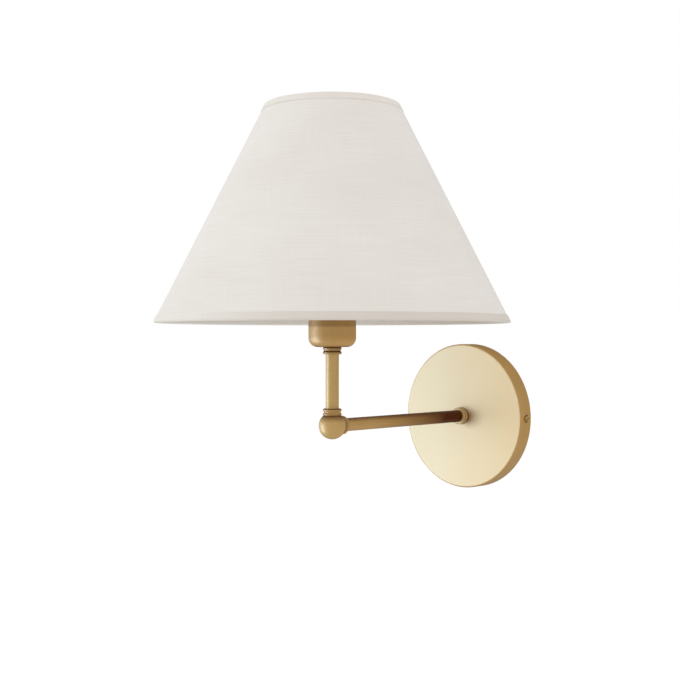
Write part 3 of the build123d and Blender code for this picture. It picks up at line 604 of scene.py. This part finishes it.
def drawProfile(name, points, segments):
    # Draws a profile in the plane through the stem's axis, point by point, and spins it round.
    # A small plane merged to its centre gives the first point.
    deselectAll()
    firstRadius, firstZ = points[0]
    bpy.ops.mesh.primitive_plane_add(size=0.001, location=(firstRadius, stemY, firstZ))
    piece = named(name)
    bpy.ops.object.transform_apply(location=True)
    bpy.ops.object.mode_set(mode="EDIT")
    bpy.ops.mesh.select_mode(type="VERT")
    bpy.ops.mesh.select_all(action="SELECT")
    bpy.ops.mesh.merge(type="CENTER")
    for before, after in zip(points, points[1:]):
        step = (after[0] - before[0], 0, after[1] - before[1])
        bpy.ops.mesh.extrude_region_move(TRANSFORM_OT_translate={"value": step})
    bpy.ops.mesh.select_all(action="SELECT")
    bpy.ops.mesh.spin(steps=segments, angle=2 * pi, center=(0, stemY, 0), axis=(0, 0, 1))
    bpy.ops.mesh.select_all(action="SELECT")
    bpy.ops.mesh.remove_doubles(threshold=mergeDistance)
    bpy.ops.mesh.normals_make_consistent(inside=False)
    bpy.ops.object.mode_set(mode="OBJECT")
    return piece


# Linen shade
linenShade = {
    "bottomZ": 0.088506,
    "topZ": 0.275706,
    "bottomRadius": 0.1526,
    "topRadius": 0.05805,
    "thickness": 0.0005,
    "edgeGap": 0.00055,  # the cut edge sits inside the hem's fold
    "segments": 320,
    "rows": 40,
    "seamTurn": 134.4,  # degrees about the stem, away from the camera
    "lapWidth": 0.011,
    "lapLift": 0.00035,
    "lapLow": 0.0058,  # the lap stops this far from the cloth's edges, under the hems
    "lapHigh": 0.0052,
    "flatSize": (0.669, 0.319),
    "flatArea": 0.1392,
}
shadeSlope = (linenShade["bottomRadius"] - linenShade["topRadius"]) / (
    linenShade["topZ"] - linenShade["bottomZ"]
)
shadeLean = atan2(shadeSlope, 1)
seamAngle = radians(linenShade["seamTurn"])


def linenRadius(height, depth=0.0):
    # Radius of the linen's face at a height, so deep under it
    faceRadius = linenShade["bottomRadius"] - (height - linenShade["bottomZ"]) * shadeSlope
    return faceRadius - depth / cos(shadeLean)


def turnFrom(point, centre, middle=0.0):
    # Angle of a point about the stem from centre, within half a turn of middle
    turn = atan2(point.y - stemY, point.x) - centre
    return middle + (turn - middle + pi) % (2 * pi) - pi


def clothMap(piece, run):
    # UVs in metres: round the shade from the side away from the seam, and along the cloth
    layer = piece.data.uv_layers.new(name="cloth")
    centre = seamAngle + pi
    for face in piece.data.polygons:
        middle = turnFrom(face.center, centre)
        for loop in face.loop_indices:
            point = piece.data.vertices[piece.data.loops[loop].vertex_index].co
            radius = hypot(point.x, point.y - stemY)
            layer.data[loop].uv = (turnFrom(point, centre, middle) * radius, run(point, radius))


clothBottom = linenShade["bottomZ"] + linenShade["edgeGap"]
clothTop = linenShade["topZ"] - linenShade["edgeGap"]
deselectAll()
bpy.ops.mesh.primitive_cone_add(
    vertices=linenShade["segments"],
    radius1=linenRadius(clothBottom, linenShade["thickness"] / 2),
    radius2=linenRadius(clothTop, linenShade["thickness"] / 2),
    depth=clothTop - clothBottom,
    end_fill_type="NOTHING",
    location=(0, stemY, (clothBottom + clothTop) / 2),
)
cloth = named("linenShade")
doneEditing()


def isSlanted(edge):
    return abs(edge.verts[0].co.z - edge.verts[1].co.z) > linenShade["thickness"]


def onLap(face):
    centre = face.calc_center_median()
    if not clothBottom + linenShade["lapLow"] <= centre.z <= clothTop - linenShade["lapHigh"]:
        return False
    across = turnFrom(centre, seamAngle) * hypot(centre.x, centre.y - stemY)
    return 0 <= across < linenShade["lapWidth"]


select(cloth)
bpy.ops.object.mode_set(mode="EDIT")
pick("edges", isSlanted)
bpy.ops.mesh.subdivide(number_cuts=linenShade["rows"] - 1)
pick("faces", onLap)
bpy.ops.mesh.duplicate()
bpy.ops.transform.shrink_fatten(value=linenShade["lapLift"])
doneEditing()
thickened(cloth, linenShade["thickness"])
clothMap(cloth, lambda point, radius: (point.z - linenShade["bottomZ"]) / cos(shadeLean))
dress(cloth, linen("naturalLinen"))

hems = {
    "bottomHeight": 0.0065,
    "bottomRows": (0.0045, 0.003, 0.0016),
    "topHeight": 0.0058,
    "topRows": (0.0042, 0.003, 0.0016),
    "foldHeight": 0.0075,
    "topFoldDepth": 0.00135,  # under the linen's face
    "thickness": 0.0005,
    "round": 0.0011,
    "roundSteps": 5,
    "wireRadius": 0.0015,
    "bottomWire": (0.148620, 0.090556),  # radius and height of its centre
    "bottomArc": (-112, -180, 4),  # round the wire: degrees from and to, and steps
    "topWire": (0.056200, 0.273656),
    "topArc": (90, 190, 6),
    "foldGap": 0.0003,  # from a wire to the middle of the cloth round it
    "segments": 320,
    "heightRun": 1.1,  # cloth per metre of height and of radius, for the UVs
    "radiusRun": 0.9,
    "runStart": 0.2,
}
hemHalf = hems["thickness"] / 2
foldRadius = hems["wireRadius"] + hems["foldGap"]


def arcPoints(centre, radius, start, end, count):
    # Points on an arc in the profile's plane; angles in degrees, from outwards to up
    turns = [radians(start + (end - start) * step / count) for step in range(count + 1)]
    return [(centre[0] + radius * cos(turn), centre[1] + radius * sin(turn)) for turn in turns]


def bandProfile(edge, up, height, rows):
    # The band on the shade's outside and its round; up is 1 from the bottom edge, -1 from the top
    turned = edge + up * hemHalf
    places = [edge + up * height] + [turned + up * row for row in rows]
    corner = turned + up * hems["round"]
    centre = (linenRadius(corner, -hemHalf) - hems["round"], corner)
    band = [(linenRadius(place, -hemHalf), place) for place in places]
    return band + arcPoints(centre, hems["round"], 0, -90 * up, hems["roundSteps"])


def makeHem(name, profile, material):
    piece = drawProfile(name, profile, hems["segments"])
    thickened(piece, hems["thickness"])
    clothMap(
        piece,
        lambda point, radius: point.z * hems["heightRun"]
        + (hems["runStart"] - radius) * hems["radiusRun"],
    )
    dress(piece, material)
    return piece


bottomZ, topZ = linenShade["bottomZ"], linenShade["topZ"]
wireX, wireZ = hems["bottomWire"]
bottomProfile = bandProfile(bottomZ, 1, hems["bottomHeight"], hems["bottomRows"])
bottomProfile += [(wireX, bottomZ + hemHalf)]
bottomProfile += arcPoints((wireX, wireZ), foldRadius, *hems["bottomArc"])
bottomProfile += [(wireX - foldRadius, bottomZ + hems["foldHeight"])]
bottomHem = makeHem("bottomHem", bottomProfile, linen("hemLinen", shadedSide["bottomHem"]))

foldLow = topZ - hems["foldHeight"]
topProfile = bandProfile(topZ, -1, hems["topHeight"], hems["topRows"])
topProfile += arcPoints(hems["topWire"], foldRadius, *hems["topArc"])
topProfile += [(linenRadius(foldLow, hems["topFoldDepth"]), foldLow)]
topHem = makeHem("topHem", topProfile, linen("topHemLinen", shadedSide["topHem"]))

for piece, node in (
    (cloth, "shade_fabric"),
    (bottomHem, "shade_bottom_hem"),
    (topHem, "shade_top_hem"),
):
    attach(piece, "shade")
    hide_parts(node)
print("Linen shade and hems made")


# Lamp cap with its rolled thread
lampCap = {
    "bottomZ": 0.108306,
    "topZ": 0.127306,
    "radius": 0.01295,
    "bore": 0.01205,
    "threadDepth": 0.0007,
    "pitch": 0.003629,
    "runOut": 0.0022,  # plain at each end
    "rowsPerTurn": 12,
    "segments": 96,
}


def cutThread(piece, low, high):
    # Moves the outer face of a spun tube in and out along a helix
    depth, pitch = lampCap["threadDepth"], lampCap["pitch"]
    middle = (lampCap["radius"] + lampCap["bore"]) / 2
    for vertex in piece.data.vertices:
        x, y, z = vertex.co.x, vertex.co.y - stemY, vertex.co.z
        radius = hypot(x, y)
        if radius < middle or not low < z < high:
            continue
        phase = 2 * pi * z / pitch - atan2(y, x)
        fade = min(1.0, (z - low) / pitch, (high - z) / pitch)
        shrunk = 1 - depth * fade * (0.5 - 0.5 * cos(phase)) / radius
        vertex.co.x, vertex.co.y = x * shrunk, y * shrunk + stemY


threadLow = lampCap["bottomZ"] + lampCap["runOut"]
threadHigh = lampCap["topZ"] - lampCap["runOut"]
threadRows = round((threadHigh - threadLow) / lampCap["pitch"] * lampCap["rowsPerTurn"])
capProfile = [(lampCap["radius"], lampCap["bottomZ"])]
for row in range(threadRows + 1):
    rowZ = threadLow + (threadHigh - threadLow) * row / threadRows
    capProfile.append((lampCap["radius"], rowZ))
capProfile += [
    (lampCap["radius"], lampCap["topZ"]),
    (lampCap["bore"], lampCap["topZ"]),
    (lampCap["bore"], lampCap["bottomZ"]),
    (lampCap["radius"], lampCap["bottomZ"]),
]
threadedCap = drawProfile("lampCap", capProfile, lampCap["segments"])
cutThread(threadedCap, threadLow, threadHigh)
smoothed(threadedCap)
dress(threadedCap, slotFinishes["bulb_nickel"])
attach(threadedCap, "lamp")
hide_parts("bulb_cap")
print("Lamp cap made")


# Studio
studio = {
    "whiteness": 1.0,  # what the camera and the metal see behind the lamp
    "ambient": 0.93,
    "floorZ": -2.6,
    "floorSize": 200,
    "floorColour": 0.9,
    "floorLevel": 1.03,  # the unshaded floor, as the camera sees it
    "target": (0, -0.16, 0.12),
    "keyPlace": (-1.05, -1.35, 0.75),
    "keySize": (1.3, 1.3),
    "keyPower": 4.9,
    "keyColour": (0.87, 0.965, 1.0),
    "fillPlace": (1.5, -0.5, 0.45),
    "fillSize": (1.0, 1.2),
    "fillPower": 1.35,
    "fillColour": (1.0, 0.97, 0.93),
    "stripTurn": 221,  # degrees about the stem from +X
    "stripDistance": 1.75,
    "stripSize": (1.05, 1.6),
    "stripHeight": -0.5,
    "stripPower": 24.0,
    "stripColour": (0.84, 0.99, 1.0),
}


def softbox(name, place, target, onlyInMetal=False):
    light = bpy.data.lights.new(name + "Softbox", "AREA")
    light.shape = "RECTANGLE"
    light.size, light.size_y = studio[name + "Size"]
    light.energy = studio[name + "Power"]
    light.color = studio[name + "Colour"]
    lamp = bpy.data.objects.new(name + "Softbox", light)
    scene.collection.objects.link(lamp)
    lamp.location = place
    lamp.rotation_euler = (Vector(target) - lamp.location).to_track_quat("-Z", "Y").to_euler()
    lamp.visible_glossy = onlyInMetal
    lamp.visible_diffuse = not onlyInMetal


stripTurn = radians(studio["stripTurn"])
stripPlace = (
    studio["stripDistance"] * cos(stripTurn),
    studio["stripDistance"] * sin(stripTurn) + stemY,
    studio["stripHeight"],
)
softbox("key", studio["keyPlace"], studio["target"])
softbox("fill", studio["fillPlace"], studio["target"])
softbox("strip", stripPlace, (0, stemY, 0), onlyInMetal=True)

skyPaint = Paint(bpy.data.worlds.new("whiteStudio"))
scene.world = skyPaint.owner
skyLevel = studio["ambient"] + skyPaint.rays() * (studio["whiteness"] - studio["ambient"])
sky = skyPaint.add("ShaderNodeBackground", values={"Color": white, "Strength": skyLevel})
skyPaint.add("ShaderNodeOutputWorld", values={"Surface": sky})

floorPaint = newPaint("paleFloor")
floorColour = tinted(white, studio["floorColour"])
floorLift = studio["floorLevel"] - studio["floorColour"] * studio["ambient"]
diffuse = floorPaint.add("ShaderNodeBsdfDiffuse", values={"Color": floorColour})
lift = floorPaint.add(
    "ShaderNodeEmission", values={"Color": white, "Strength": floorPaint.rays() * floorLift}
)
both = floorPaint.add("ShaderNodeAddShader", values={0: diffuse, 1: lift})
floorPaint.add("ShaderNodeOutputMaterial", values={"Surface": both})
deselectAll()
bpy.ops.mesh.primitive_plane_add(size=studio["floorSize"], location=(0, 0, studio["floorZ"]))
floor = named("floor")
dress(floor, floorPaint.owner)

# A dome of grey flags round the lamp, which only the metal's reflections see
flags = {
    "radius": 2.4,
    "shades": {  # grey by turn about the stem, in degrees from +X
        -180: 0.95,
        -158: 0.85,
        -140: 0.50,
        -110: 0.42,
        -46: 0.22,
        20: 0.16,
        60: 0.14,
        90: 0.06,
        140: 0.04,
        158: 0.25,
        168: 0.85,
        180: 0.95,
    },
    "lowShade": 0.30,
    "lowSpan": (-0.10, -0.45),  # heights as shares of the radius
    "highShade": 0.05,
    "highSpan": (0.60, 0.90),
    "segments": 96,
    "rings": 48,
}
flagPaint = newPaint("greyFlags")
domeX, domeY, domeZ = flagPaint.split(flagPaint.place())
domeTurn = (domeY - stemY).maths("ARCTAN2", domeX)
flagStops = [
    ((place + 180) / 360, tinted(white, grey)) for place, grey in sorted(flags["shades"].items())
]
flagShade = flagPaint.ramp(flagPaint.stretch(domeTurn, -pi, pi), flagStops)
rise = domeZ / flags["radius"]
for end in ("low", "high"):
    reached = flagPaint.stretch(rise, *flags[end + "Span"])
    flagShade = flagPaint.mix(reached, flagShade, tinted(white, flags[end + "Shade"]))
glow = flagPaint.add("ShaderNodeEmission", values={"Color": flagShade, "Strength": 1.0})
flagPaint.add("ShaderNodeOutputMaterial", values={"Surface": glow})
deselectAll()
bpy.ops.mesh.primitive_uv_sphere_add(
    segments=flags["segments"],
    ring_count=flags["rings"],
    radius=flags["radius"],
    location=(0, stemY, 0),
)
dome = named("greyFlags")
doneEditing()
dress(dome, flagPaint.owner)
dome.visible_camera = False
dome.visible_diffuse = False
dome.visible_transmission = False
dome.visible_shadow = False

cameraView = {
    "place": (0.6857, -0.8956, 0.0740),
    "turn": 44.055,  # degrees from the wall's normal
    "lens": 60.07,
    "sensor": 36,
}
eye = bpy.data.cameras.new("photoCamera")
eye.lens = cameraView["lens"]
eye.sensor_width = cameraView["sensor"]
photoCamera = bpy.data.objects.new("photoCamera", eye)
scene.collection.objects.link(photoCamera)
photoCamera.location = cameraView["place"]
photoCamera.rotation_euler = (radians(90), 0, radians(cameraView["turn"]))
scene.camera = photoCamera
scene.view_settings.view_transform = "Standard"
print("Studio ready")
